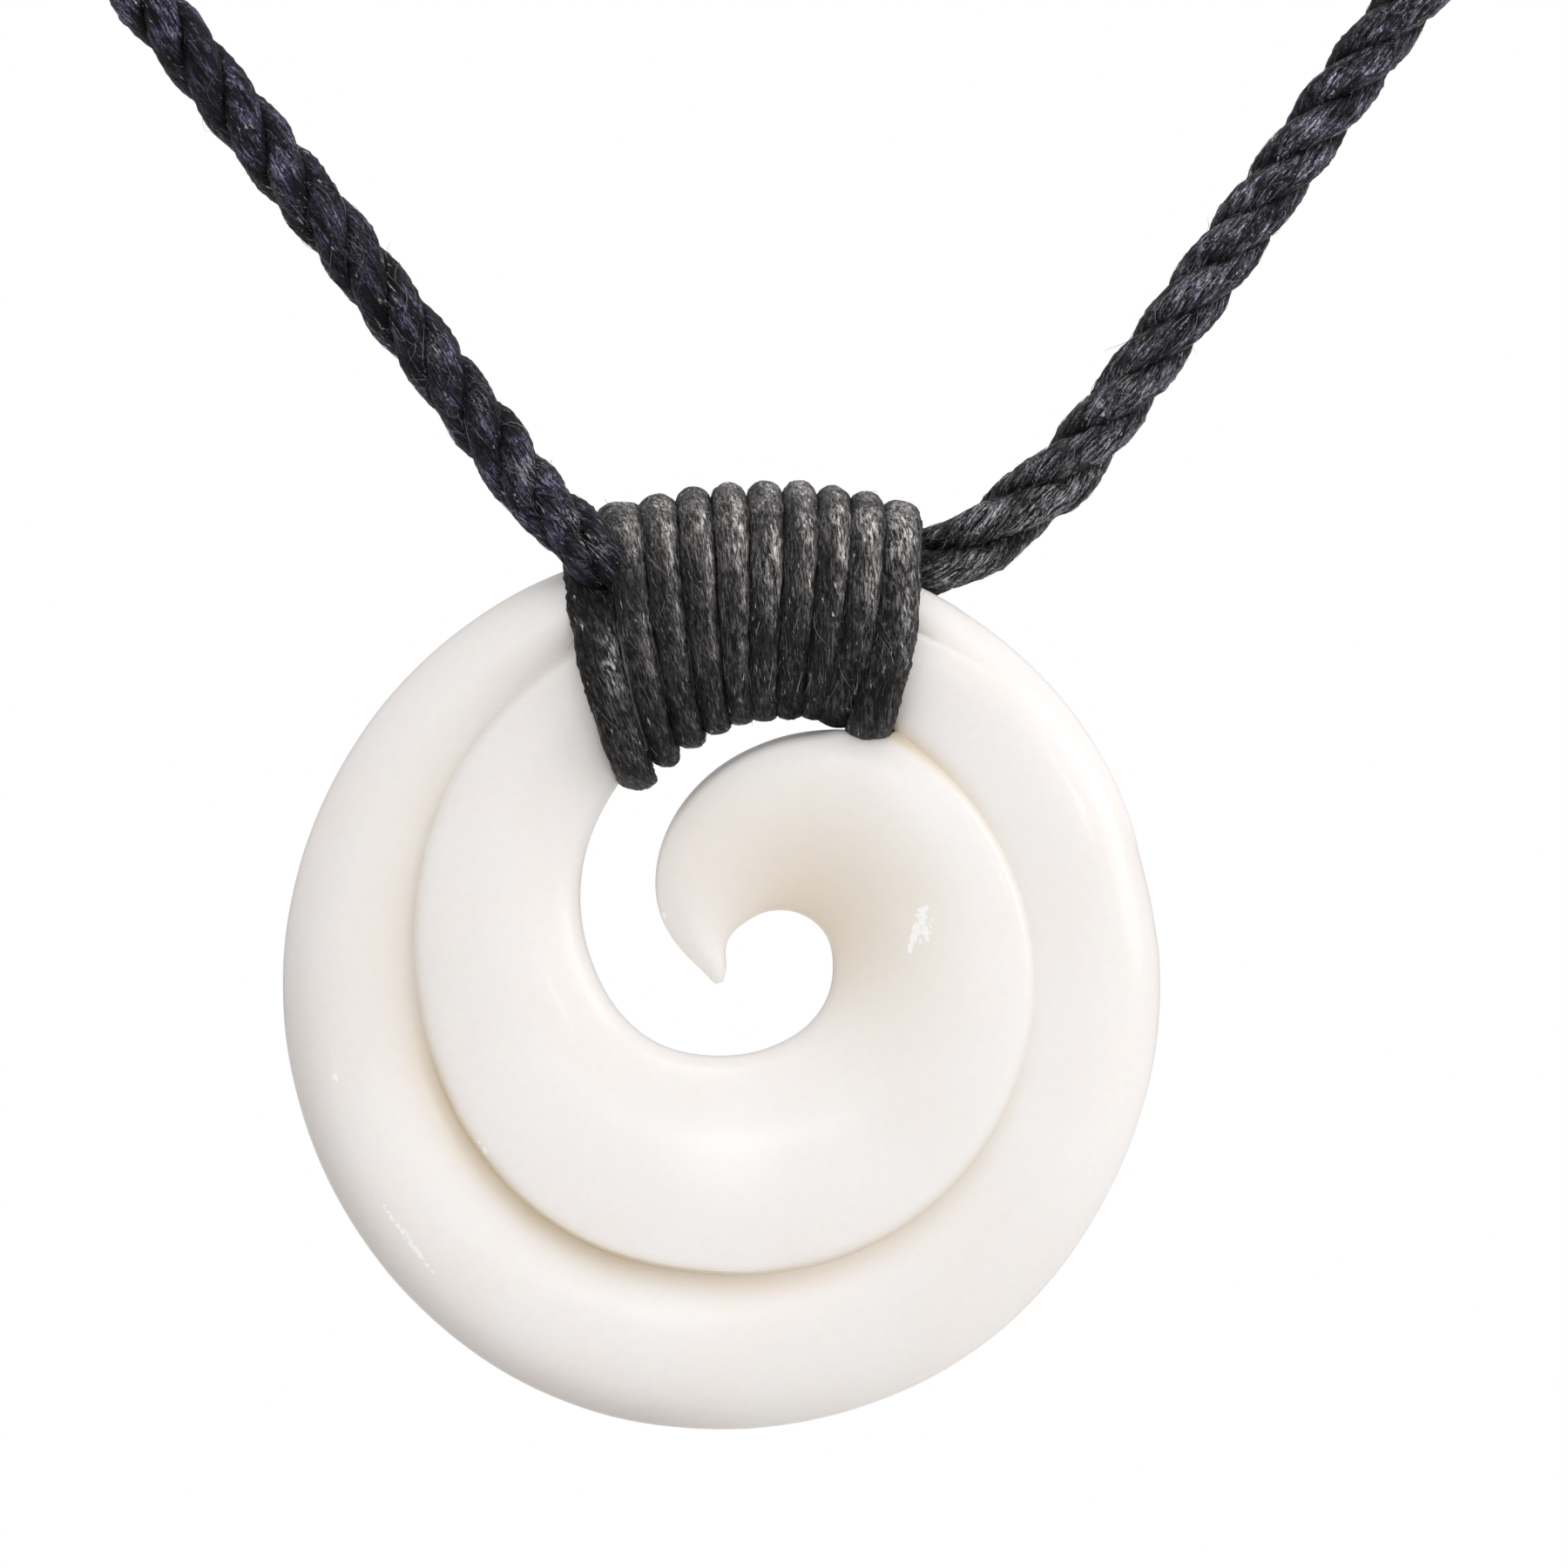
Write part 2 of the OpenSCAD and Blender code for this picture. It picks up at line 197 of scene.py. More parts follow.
def sweep(line, at, side, half_w, half_t, sides, twist, seed):
    """Vertices, faces and fibre coordinates of a strand, in millimetres."""
    _, x, y = directions(line, side)
    turn = np.arange(sides) * 2 * np.pi / sides
    draw = np.random.default_rng(seed)
    ridges = np.zeros((len(at), sides))
    for count in ridge_counts:
        phase = draw.random() * any_turn + at[:, None] * twist * draw.uniform(0.8, 1.2)
        ridges += np.cos(count * turn[None, :] + phase * count) / count
    round_it = 1 + ridge_height * ridges + cotton_noise * draw.normal(size=ridges.shape)
    w = (half_w * lumps(at, seed + 1, thick_and_thin))[:, None] * round_it * np.cos(turn)
    t = (half_t * lumps(at, seed + 2, thick_and_thin))[:, None] * round_it * np.sin(turn)
    points = line[:, None, :] + x[:, None, :] * w[..., None] + y[:, None, :] * t[..., None]
    spun = turn[None, :] + at[:, None] * twist
    fibre = np.stack([
        fibre_radius * np.cos(spun), fibre_radius * np.sin(spun),
        np.repeat(at[:, None], sides, 1),
    ], axis=2)
    fibre = fibre.reshape(-1, 3) + draw.uniform(0, 40, 3)
    return points.reshape(-1, 3), swept_faces(len(line), sides), fibre


print("Ridges round a strand:", ridge_counts)

# %% Where the wax shows pale, and where highlights are painted on it
# x, z, half width, half height, share
wax_and_highlight_spots = [
    (-3.95, 12.2, 0.30, 1.0, 0.9), (3.05, 17.0, 0.25, 0.5, 0.8), (5.35, 17.1, 0.35, 0.6, 0.9),
    (6.30, 16.6, 0.25, 1.1, 0.8), (5.35, 14.9, 0.20, 0.8, 0.5), (6.65, 14.0, 0.20, 1.1, 0.6),
    (1.70, 15.3, 0.20, 1.2, 0.5), (-4.6, 16.3, 0.5, 0.4, 0.5), (12.0, 18.2, 0.6, 0.4, 0.6),
    (14.0, 19.4, 0.4, 0.4, 0.6), (8.4, 15.4, 0.4, 0.3, 0.8), (14.7, 22.4, 0.5, 0.4, 0.7),
    (10.0, 17.5, 0.8, 0.5, 0.6), (11.2, 17.2, 0.6, 0.4, 0.5), (13.1, 18.8, 0.6, 0.4, 0.7),
    (9.3, 15.8, 0.5, 0.3, 0.5), (17.2, 26.4, 0.4, 0.3, 0.5), (-10.6, 23.6, 0.3, 0.4, 0.6),
    (-13.6, 27.4, 0.3, 0.4, 0.3), (-7.0, 19.3, 0.4, 0.5, 0.8), (-8.7, 21.8, 0.3, 0.5, 0.4),
    (-5.5, 17.3, 0.4, 0.3, 0.7),
]


def around_spot(points, x, z, half_w, half_h):
    """A soft round share, 1 at the spot and fading to 0 around it."""
    near = ((points[:, 0] - x) / half_w) ** 2 + ((points[:, 2] - z) / half_h) ** 2
    return np.exp(-near)


def wax_and_highlight_share(points):
    """How pale the wax is at each point, painted highlights included."""
    share = np.zeros(len(points))
    for x, z, w, h, most in wax_and_highlight_spots:
        share = np.maximum(share, most * around_spot(points, x, z, w, h))
    return share


print("Pale spots:", len(wax_and_highlight_spots))


# %% Turn swept strands into one piece
def store(mesh, name, values):
    """Keeps a number or a vector for each point of a mesh, in an attribute."""
    values = np.asarray(values, np.float32)
    kind, field = ("FLOAT_VECTOR", "vector") if values.ndim == 2 else ("FLOAT", "value")
    held = mesh.attributes.get(name) or mesh.attributes.new(name, kind, "POINT")
    held.data.foreach_set(field, values.ravel())


def turn_faces_out(piece):
    """Turns every face outwards and shades the piece smooth."""
    select(piece)
    bpy.ops.object.mode_set(mode="EDIT")
    bpy.ops.mesh.select_all(action="SELECT")
    bpy.ops.mesh.normals_make_consistent(inside=False)
    bpy.ops.object.mode_set(mode="OBJECT")
    bpy.ops.object.shade_smooth()


def mesh_piece(name, parts):
    """One piece from several swept strands, placed under the nape."""
    points, faces, fibre, start = [], [], [], 0
    for p, f, c in parts:
        points.append(p)
        fibre.append(c)
        faces += [tuple(v + start for v in face) for face in f]
        start += len(p)
    points = np.vstack(points)
    mesh = bpy.data.meshes.new(name)
    mesh.from_pydata((points * MM - (0, 0, DROP)).tolist(), [], faces)
    store(mesh, "pale", wax_and_highlight_share(points))
    store(mesh, "fibre", np.vstack(fibre))
    store(mesh, "lit", np.ones_like(points))
    piece = bpy.data.objects.new(name, mesh)
    bpy.context.collection.objects.link(piece)
    turn_faces_out(piece)
    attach(piece, "root")
    print(name, "has", len(mesh.polygons), "faces")
    return piece


# %% Lay three strands into a cord
lay_length = 7.3
strand_out = 0.60
strand_half_w = 0.67
strand_half_t = 0.58
cord_sides = 14
fibre_twist = 1.5
strands_in_cord = 3
front = np.array([0.0, -1.0, 0.0])
# What a loose stretch changes: its twist, how far out its strands lie, and their thickness
loose_twist, loose_out, loose_size = -0.45, 0.18, 0.12


def laid_strands(line, at, phase, loose, seed):
    """Three strands laid round the line, opened a little where loose is above 0."""
    _, x, y = directions(line, front)
    rate = 2 * np.pi / lay_length * (1 + loose_twist * loose)
    angle = phase + np.r_[0, np.cumsum(np.diff(at) * rate[1:])]
    bigger = 1 + loose_size * loose
    parts = []
    for k in range(strands_in_cord):
        a = angle + 2 * np.pi * k / strands_in_cord
        own_seed = seed + 10 * k
        out = strand_out * lumps(at, own_seed, thick_and_thin) * (1 + loose_out * loose)
        centre = line + out[:, None] * (np.cos(a)[:, None] * x + np.sin(a)[:, None] * y)
        side = np.cross(np.gradient(centre, axis=0), centre - line)
        side /= np.linalg.norm(side, axis=1, keepdims=True)
        parts.append(sweep(
            centre, at, side, strand_half_w * bigger, strand_half_t * bigger, cord_sides,
            fibre_twist, own_seed + 3,
        ))
    return parts


tight = np.zeros_like(left_at)
loose_end = np.exp(-((right_at - 9.5) / 4.0) ** 2)
cord_left = mesh_piece(
    "cord_left_laid", laid_strands(left_line, left_at, 0.4, tight, 100)
)
cord_right = mesh_piece(
    "cord_right_laid", laid_strands(right_line, right_at, 1.0, loose_end, 200)
)
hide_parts("cord_left")
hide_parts("cord_right")

# %% [markdown]
# ## Tone and painted shade of the cord
# Painted shade darkens the grooves between the strands, and a painted shadow darkens the cord
# where the left half dives under the wraps; its dye and wax are uneven too. A picture could be
# painted for that, but a tone and a hue stored at each point follow the cord wherever it goes.
# The right half is lighter in tone than the left, and it loses the blue of the dye towards the
# lashing.


# %% Store a tone, with its painted light and shade, at each point
wax_and_highlight_lift = 1.3


def painted_shadow_under_cord(line):
    """Painted shadow: how dark a line is made where the left cord dives under the wraps."""
    return 1 - 0.93 * around_spot(line, -4.1, 14.7, 1.1, 1.3)


def set_tone_and_painted_light(piece, values):
    """Stores the tone of each point, with painted light and shade in it, which is raised where
    the wax is pale or a highlight is painted.
    """
    pale = np.empty(len(values))
    piece.data.attributes["pale"].data.foreach_get("value", pale)
    store(piece.data, "lit", values * (1 + wax_and_highlight_lift * pale)[:, None])


print("Pale wax lifts the tone by up to", wax_and_highlight_lift)

# %% Paint shade into the grooves, and patches of tone, on both halves
# Painted shade: the side of each strand that faces the cord's middle is made darker
painted_groove_shade = 0.2
patch_seeds = (41, 42, 43)
outer = np.clip(-np.sin(np.arange(cord_sides) * 2 * np.pi / cord_sides), 0, 1) ** 0.8
painted_shade_across_strand = painted_groove_shade + (1 - painted_groove_shade) * outer
# piece, its line, tone, patchiness, hue far from the lashing, hue at the lashing
for piece, line, at, tone, patchy, hue, end_hue in (
    (cord_left, left_line, left_at, 0.80, 0.70, (0.98, 0.95, 1.15), (0.98, 0.95, 1.15)),
    (cord_right, right_line, right_at, 1.60, 0.35, (1.02, 1.01, 0.97), (1.10, 1.13, 0.84)),
):
    along_tone_and_shadow = 1 + max(0, 0.8 * tone - 0.8) * np.exp(-(((at - 10) / 2.5) ** 2))
    along_tone_and_shadow *= np.interp(at, (22, 27), (1, 1.12)) * painted_shadow_under_cord(line)
    end_share = np.exp(-((at / 16) ** 2))[:, None]
    hues = np.array(hue) + (np.array(end_hue) - np.array(hue)) * end_share
    values = tone * along_tone_and_shadow[:, None, None] * painted_shade_across_strand[None, :, None] * hues[:, None, :]
    by_strand = [
        values * np.clip(lumps(at, seed, patchy, 0.8), 0.35, 2)[:, None, None]
        for seed in patch_seeds
    ]
    set_tone_and_painted_light(piece, np.vstack([strand.reshape(-1, 3) for strand in by_strand]))
    print(piece.name, "tone: mean", round(float(np.mean(by_strand)), 2))

# %% [markdown]
# ## Lashing
# One waxed strand goes round the top of the bone and the cord ten times. Its line is worked
# out from the same two short tables as the solid: where each wrap starts and ends on the
# face, and how one wrap goes round.

# %% The line of the ten wraps
# foot x, foot z, top x, top z, on the strand's outside, from the middle of the disc
wraps = np.array([
    (-3.05, 7.25, -4.70, 17.85), (-2.28, 8.10, -3.25, 18.12), (-1.42, 8.80, -2.00, 18.35),
    (-0.50, 9.35, -0.75, 18.65), (0.36, 9.75, 0.55, 18.75), (1.20, 9.90, 1.85, 18.80),
    (2.15, 10.00, 3.12, 18.75), (3.15, 10.00, 4.35, 18.55), (4.02, 9.85, 5.60, 18.35),
    (5.30, 9.10, 6.85, 17.95),
])
# how far the first and the last wrap bow sideways
bow = (-0.4, 0.3)
first_extra = 0.45
# share of the way up, depth, from the middle of the carved face, down first
around = np.array([
    (0.42, -5.15), (0.26, -5.15), (0.11, -4.80), (0.02, -3.90), (0.00, -2.60), (0.03, -1.10),
    (0.19, -0.25), (0.37, 0.35), (0.55, 1.25), (0.71, 1.80), (0.86, 1.85), (0.96, 1.25),
    (1.00, 0.20), (0.98, -1.35), (0.94, -3.05), (0.84, -4.40), (0.69, -5.00), (0.56, -5.12),
])
strand_d = 1.1
foot_share = 0.64


def wrap_value(column, u):
    """A column of the wraps' table at u wraps from the left."""
    return np.interp(u, np.arange(len(wraps)), wraps[:, column])


def around_value(column, u):
    """A column of the table for one wrap, u turns from its foot."""
    n = len(around)
    closed = np.r_[around[:, column], around[0, column]]
    return np.interp(np.mod(u, 1) * n, np.arange(n + 1), closed)


def pitch(column, u):
    """How far apart two wraps lie at u."""
    place = np.clip(u, 0.5, len(wraps) - 1.5)
    return wrap_value(column, place + 0.5) - wrap_value(column, place - 0.5)


def bow_at(u):
    """How far a wrap bows sideways at u."""
    return bow[0] + (bow[1] - bow[0]) * u / (len(wraps) - 1)


def ease(u, start, length):
    """From 0 to 1 as u goes from start over a length, which may run backwards."""
    return np.clip((u - start) / length, 0, 1)


first_u, last_u, steps_a_wrap = -0.2, 9.5, 16
u = np.arange(first_u, last_u, 1 / steps_a_wrap)
up = around_value(0, u)
low = wrap_value(1, u) + strand_d * foot_share / 2
top = wrap_value(3, u) - strand_d / 2
across = wrap_value(0, u) + (wrap_value(2, u) - wrap_value(0, u)) * up
across += bow_at(u) * np.sin(np.pi * up)
across -= first_extra / 2 * ease(u, 0.45, -0.2)
across += 0.1 * np.sin(np.pi * ease(u, 0, 9))
# The strand starts further back, and the foot of its last wrap comes forward
depth = around_value(1, u) + 1.5 * ease(u, 0.02, -0.2)
depth -= 0.5 * ease(u, 9.02, 0.08) * ease(u, 9.3, -0.08)
wrap_points = np.stack([across, depth, low + (top - low) * up], axis=1)
wrap_line, wrap_at = smooth_line(wrap_points, 0.14)
print("Lashing strand:", round(wrap_at[-1]), "mm of strand in", len(wraps), "wraps")

# %% Sweep the lashing strand
straight = np.r_[0, np.cumsum(np.linalg.norm(np.diff(wrap_points, axis=0), axis=1))]
u_even = np.interp(wrap_at, straight * wrap_at[-1] / straight[-1], u)
up_even = around_value(0, u_even)
strand_w = pitch(0, u_even) + (pitch(2, u_even) - pitch(0, u_even)) * up_even
strand_w += (bow[1] - bow[0]) / (len(wraps) - 1) * np.sin(np.pi * up_even)
# Wider: the first wrap, every foot, the last wraps, and the tops of the first ones
strand_w += first_extra * ease(u_even, 0.45, -0.2)
strand_w += 0.16 * (1 - up_even) ** 4
strand_w += 0.2 * ease(u_even, 7.7, 0.4)
strand_w += 0.35 * ease(u_even, 2.4, -1) * up_even**6
strand_t = strand_d * np.minimum(1, foot_share + 2 * up_even)
wrap_sides = 24
wrap_twist = 0.25
across_wraps = np.array([1.0, 0, 0])
wrapped = sweep(
    wrap_line, wrap_at, across_wraps, strand_w / 2, strand_t / 2, wrap_sides, wrap_twist, 300
)
lashing = mesh_piece("lashing_strand", [wrapped])
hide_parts("lashing")

# %% Paint a highlight stripe on the upper right of each wrap, and shade towards its foot
# share of the way up, painted tone of the whole strand, extra tone of the painted highlight
# stripe, turn of the stripe
painted_shine_rows = np.array([
    (0, 0.33, 0.32, 48), (0.25, 0.34, 0.42, 46), (0.5, 0.52, 1.7, 42), (0.7, 0.66, 3.0, 44),
    (0.88, 1.0, 2.6, 72), (1, 1.0, 2.4, 85),
])
side_turn = np.degrees(np.arange(wrap_sides) * 2 * np.pi / wrap_sides)
whole, extra, middle = (np.interp(up_even, painted_shine_rows[:, 0], painted_shine_rows[:, i])[:, None] for i in (1, 2, 3))
stripe_width = 30
# Painted highlight and shade across each wrap, with the painted shadow under the cord
lit = whole + extra * np.exp(-(((side_turn[None, :] - middle) / stripe_width) ** 2))
by_wrap = np.interp(u_even, (1, 3, 4, 5), (0.85, 1, 1.3, 1))
lit *= (lumps(wrap_at, 77, 0.25, 3.0) * by_wrap * painted_shadow_under_cord(wrap_line))[:, None]
set_tone_and_painted_light(lashing, np.repeat(lit.reshape(-1, 1), 3, axis=1))
print("Tone along the wraps:", round(float(lit.min()), 2), "to", round(float(lit.max()), 2))

# %% [markdown]
# ## Loose fibres
# Waxed cotton never lies quite smooth: short fibres stand out of it, which soften its
# outline. Each fibre is a fine three-sided hair that leaves the surface and bends along it.


# %% Vectors on the faces of a swept piece
def by_ring(piece, strands, sides, what):
    """A vector of each face by strand, ring and side, without the end caps."""
    faces = piece.data.polygons
    flat = np.empty(len(faces) * 3)
    faces.foreach_get(what, flat)
    return flat.reshape(strands, -1, 3)[:, :-2].reshape(strands, -1, sides, 3)


def on_surface(grid, strand, r, s):
    """The grid's vectors at the places r along and s round a strand."""
    sides = grid.shape[2]
    r0, s0 = np.floor(r).astype(int), np.floor(s).astype(int)
    a, b, c, d = (grid[strand, r0 + i, (s0 + j) % sides] for i in (0, 1) for j in (0, 1))
    up, over = (r - r0)[..., None], (s - s0)[..., None]
    return (a * (1 - over) + b * over) * (1 - up) + (c * (1 - over) + d * over) * up


# %% A mesh of three-sided hairs
hair_rings = 6
third_turn = 2.094
stray_share = 0.02


def hair_mesh(name, line, n, draw):
    """Fine tapering hairs along the lines, each with one tone."""
    count = len(line)
    heading = np.gradient(line, axis=1)
    heading /= np.linalg.norm(heading, axis=2, keepdims=True) + 1e-12
    aside = np.cross(n, heading)
    corner = (np.arange(3) * third_turn)[:, None]
    outward = aside[:, :, None] * np.cos(corner) + n[:, :, None] * np.sin(corner)
    taper = 1 - 0.7 * np.linspace(0, 1, hair_rings)
    thick = draw.uniform(0.008, 0.02, (count, 1)) * MM * taper
    points = line[:, :, None] + outward * thick[..., None, None]
    hair_points = 3 * hair_rings
    start = hair_points * np.arange(count)[:, None, None]
    quads = start + np.array([
        (3 * k + i, 3 * k + (i + 1) % 3, 3 * k + 3 + (i + 1) % 3, 3 * k + 3 + i)
        for k in range(hair_rings - 1) for i in range(3)
    ])
    ends = start + np.array([(2, 1, 0), (hair_points - 3, hair_points - 2, hair_points - 1)])
    hair = bpy.data.meshes.new(name)
    hair.from_pydata(
        points.reshape(-1, 3).tolist(), [],
        quads.reshape(-1, 4).tolist() + ends.reshape(-1, 3).tolist(),
    )
    store(hair, "tone", np.repeat(draw.random(count) ** 2.5, hair_points))
    return hair


print("Rings in a hair:", hair_rings)


# %% Scatter loose fibres over a piece
def fibres(name, piece, strands, sides, spin, wander, count, longest, lift, seed):
    """Fine hairs close to a piece's surface, which run along its twisted strands."""
    draw = np.random.default_rng(seed)
    centres = by_ring(piece, strands, sides, "center")
    normals = by_ring(piece, strands, sides, "normal")
    chance = (0.25 + (centres[..., 2] < -DROP + 30 * MM)) * (1.2 - normals[..., 1])
    chosen = draw.choice(chance.size, count, p=chance.ravel() / chance.sum())
    strand, ring, side = (i[:, None] for i in np.unravel_index(chosen, chance.shape))
    length = longest * draw.uniform(0.25, 1, (count, 1)) ** 1.5
    reach = length / np.linalg.norm(centres[0, 1, 0] - centres[0, 0, 0])
    t = np.linspace(0, 1, hair_rings)
    last_ring = centres.shape[1] - 1.001
    r = np.clip(ring + draw.choice([-1, 1], (count, 1)) * reach * t, 0, last_ring)
    s = side - spin * (r - ring)
    s += reach * wander * draw.normal(0, 1, (count, 1)) * t
    s += reach * 1.25 * wander * draw.normal(0, 1, (count, 1)) * t**2
    n = on_surface(normals, strand, r, s)
    n /= np.linalg.norm(n, axis=2, keepdims=True)
    stray = draw.random((count, 1)) < stray_share
    rise = lift * draw.uniform(0.1, 1, (count, 1)) * np.sin(0.8 * np.pi * t)
    rise += stray * np.minimum(length, 0.6 * MM) * draw.uniform(0.2, 0.7, (count, 1)) * t**2
    line = on_surface(centres, strand, r, s) + n * (rise - 0.02 * MM * (1 - t))[..., None]
    fuzz = bpy.data.objects.new(name, hair_mesh(name, line, n, draw))
    bpy.context.collection.objects.link(fuzz)
    turn_faces_out(fuzz)
    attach(fuzz, "root")
    print(name, "has", count, "fibres")
    return fuzz


# %% Fibres on both halves of the cord and on the wraps
long_fibre, short_fibre = 1.8 * MM, 1.3 * MM
cord_lift, wrap_lift = 0.08 * MM, 0.04 * MM
left_fuzz = fibres(
    "cord_left_fibres", cord_left, 3, cord_sides, 0.73, 0.5, 4500, long_fibre, cord_lift, 11
)
right_fuzz = fibres(
    "cord_right_fibres", cord_right, 3, cord_sides, 0.73, 0.3, 4500, long_fibre, cord_lift, 12
)
lashing_fuzz = fibres(
    "lashing_fibres", lashing, 1, wrap_sides, 0.13, 0.16, 5200, short_fibre, wrap_lift, 13
)

# %% [markdown]
# ## Clasp
# The nape is outside the photograph, so the clasp is a plain barrel. It is turned from a
# cylinder: the ends are drawn in round the cord, and a fine groove marks where its two
# halves meet.

# %% Turn the barrel clasp
clasp_l = 14 * MM
clasp_r = 2.5 * MM
deselect()
bpy.ops.mesh.primitive_cylinder_add(
    vertices=64, radius=clasp_r, depth=clasp_l, rotation=(0, math.pi / 2, 0), end_fill_type="NGON"
)
clasp = bpy.context.object
clasp.name = clasp.data.name = "clasp_barrel"
bpy.ops.object.transform_apply(location=True, rotation=True, scale=True)
bpy.ops.object.mode_set(mode="EDIT")
groove_half = 0.15 * MM
for x in (-groove_half, groove_half):
    bpy.ops.mesh.select_all(action="SELECT")
    bpy.ops.mesh.bisect(plane_co=(x, 0, 0), plane_no=(1, 0, 0), use_fill=False)
bpy.ops.object.mode_set(mode="OBJECT")
print("Barrel faces:", len(clasp.data.polygons))


# %% Sink the groove and round the ends
def select_faces(piece, wanted):
    """Selects the faces whose centre and normal pass a test, and leaves edit mode on."""
    select(piece)
    bpy.ops.object.mode_set(mode="EDIT")
    bpy.ops.mesh.select_mode(type="FACE")
    bpy.ops.mesh.select_all(action="DESELECT")
    bpy.ops.object.mode_set(mode="OBJECT")
    for face in piece.data.polygons:
        face.select = bool(wanted(face.center, face.normal))
    bpy.ops.object.mode_set(mode="EDIT")


groove_depth = 0.25 * MM
select_faces(clasp, lambda c, n: abs(c.x) < groove_half / 2 and abs(n.x) < 0.5)
bpy.ops.mesh.extrude_region_shrink_fatten(TRANSFORM_OT_shrink_fatten={"value": -groove_depth})
# The mouth that the cord goes into
select_faces(clasp, lambda c, n: abs(n.x) > 0.9 and abs(c.x) > clasp_l / 2 - 0.1 * MM)
bpy.ops.mesh.inset(thickness=1.15 * MM, depth=0)
bpy.ops.mesh.extrude_region_move()
bpy.ops.transform.resize(value=(0.9, 1, 1), center_override=(0, 0, 0))
bpy.ops.object.mode_set(mode="OBJECT")
rounding = clasp.modifiers.new("rounding", "BEVEL")
rounding.width = 0.6 * MM
rounding.segments = 4
rounding.limit_method = "ANGLE"
rounding.angle_limit = math.radians(60)
select(clasp)
bpy.ops.object.modifier_apply(modifier="rounding")
bpy.ops.object.shade_smooth_by_angle(angle=math.radians(35))
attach(clasp, "root")
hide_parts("clasp")
print("Clasp has", len(clasp.data.polygons), "faces")

for piece, fuzz, line, leaves in (
    (cord_left, left_fuzz, left_line, left_under[-1]),
    (cord_right, right_fuzz, right_line, right_under[-1]),
):
    print(piece.name, "leaves the lashing at", leaves, "mm")

# %% [markdown]
# ## Carved bone
# The carver's spiral is already right in the solid, but faceted. Its copy is welded, its
# triangles are joined to four-sided faces, and a subdivision surface makes the faces flow.
# The crease between two turns is kept crisp with edge creases, and a slight unevenness is
# what hand sanding leaves.

# %% Weld the copy and join its triangles
bone_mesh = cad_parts["koru"].data.copy()
bone = bpy.data.objects.new("koru_bone", bone_mesh)
bone_mesh.name = "koru_bone"
bpy.context.collection.objects.link(bone)
select(bone)
bone_mesh.materials.clear()
bpy.ops.object.mode_set(mode="EDIT")
bpy.ops.mesh.select_all(action="SELECT")
bpy.ops.mesh.remove_doubles(threshold=0.002 * MM)
bpy.ops.mesh.tris_convert_to_quads(face_threshold=math.pi, shape_threshold=math.pi)
bpy.ops.mesh.customdata_custom_splitnormals_clear()
bpy.ops.object.mode_set(mode="OBJECT")
corners = [len(face.vertices) for face in bone_mesh.polygons]
print("Bone:", corners.count(4), "four-sided faces,", corners.count(3), "triangles")

# %% Keep the crease crisp and smooth the rest
bpy.ops.object.mode_set(mode="EDIT")
bpy.ops.mesh.select_mode(type="EDGE")
bpy.ops.mesh.select_all(action="DESELECT")
bpy.ops.mesh.edges_select_sharp(sharpness=math.radians(65))
bpy.ops.transform.edge_crease(value=0.5)
bpy.ops.object.mode_set(mode="OBJECT")
crisp = [edge for edge in bone_mesh.edges if edge.select]
smoothing = bone.modifiers.new("smoothing", "SUBSURF")
smoothing.levels = smoothing.render_levels = 2
select(bone)
bpy.ops.object.modifier_apply(modifier="smoothing")
print("Crease edges:", len(crisp), "- faces now:", len(bone_mesh.polygons))

# %% Where each point lies on the disc
eye = np.array([1.8, 1.0])


def disc_places(mesh):
    """Each vertex in millimetres from the middle of the disc, and its angle and radius."""
    flat = np.empty(len(mesh.vertices) * 3)
    mesh.vertices.foreach_get("co", flat)
    places = flat.reshape(-1, 3) / MM + (0, 0, DROP / MM)
    from_eye = places[:, [0, 2]] - eye
    return places, np.degrees(np.arctan2(from_eye[:, 1], from_eye[:, 0])), np.hypot(*from_eye.T)


places, angle, radius = disc_places(bone_mesh)
print("Largest radius about the eye:", round(float(radius.max()), 2), "mm")

# %% Draw in the small step of the crease's wall at the rim
# turn about the middle of the disc, and the most that the rim may reach there
rim_limit = np.array([
    (0, 17), (11, 17), (12.8, 16.10), (19.4, 16.115), (24, 16.25), (32.5, 16.42), (34, 17),
])
rim_turn = np.degrees(np.arctan2(places[:, 2], places[:, 0]))
most = np.interp(rim_turn, rim_limit[:, 0], rim_limit[:, 1])
drawn_in = np.minimum(1, most / np.hypot(places[:, 0], places[:, 2]))
places[:, 0] *= drawn_in
places[:, 2] *= drawn_in
bone_mesh.vertices.foreach_set("co", ((places - (0, 0, DROP / MM)) * MM).ravel())
print("Points drawn in at the rim:", int((drawn_in < 1).sum()))


# %% Let the crease fade out at the rim and go soft at the upper left
def smooth_points(piece, chosen, times):
    """Smooths the chosen points a number of times."""
    select(piece)
    bpy.ops.object.mode_set(mode="EDIT")
    bpy.ops.mesh.select_mode(type="VERT")
    bpy.ops.mesh.select_all(action="DESELECT")
    bpy.ops.object.mode_set(mode="OBJECT")
    piece.data.vertices.foreach_set("select", chosen)
    bpy.ops.object.mode_set(mode="EDIT")
    bpy.ops.mesh.vertices_smooth(factor=0.5, repeat=times)
    bpy.ops.object.mode_set(mode="OBJECT")
    print("Smoothed vertices:", int(chosen.sum()))


faded = (angle > 3) & (angle < 62) & (radius > 12.6 + 0.02 * np.abs(angle - 30))
all_round = np.mod(angle, 360)
crease_radius = np.minimum(12.92 + (180 - all_round) * 0.0105, 13.45)
on_front = places[:, 1] < -3
soft = (all_round > 98) & (np.abs(radius - crease_radius) < 0.9) & on_front
smooth_points(bone, faded, 10)
smooth_points(bone, soft & (all_round < 165), 5)
smooth_points(bone, soft & (all_round < 195), 3)

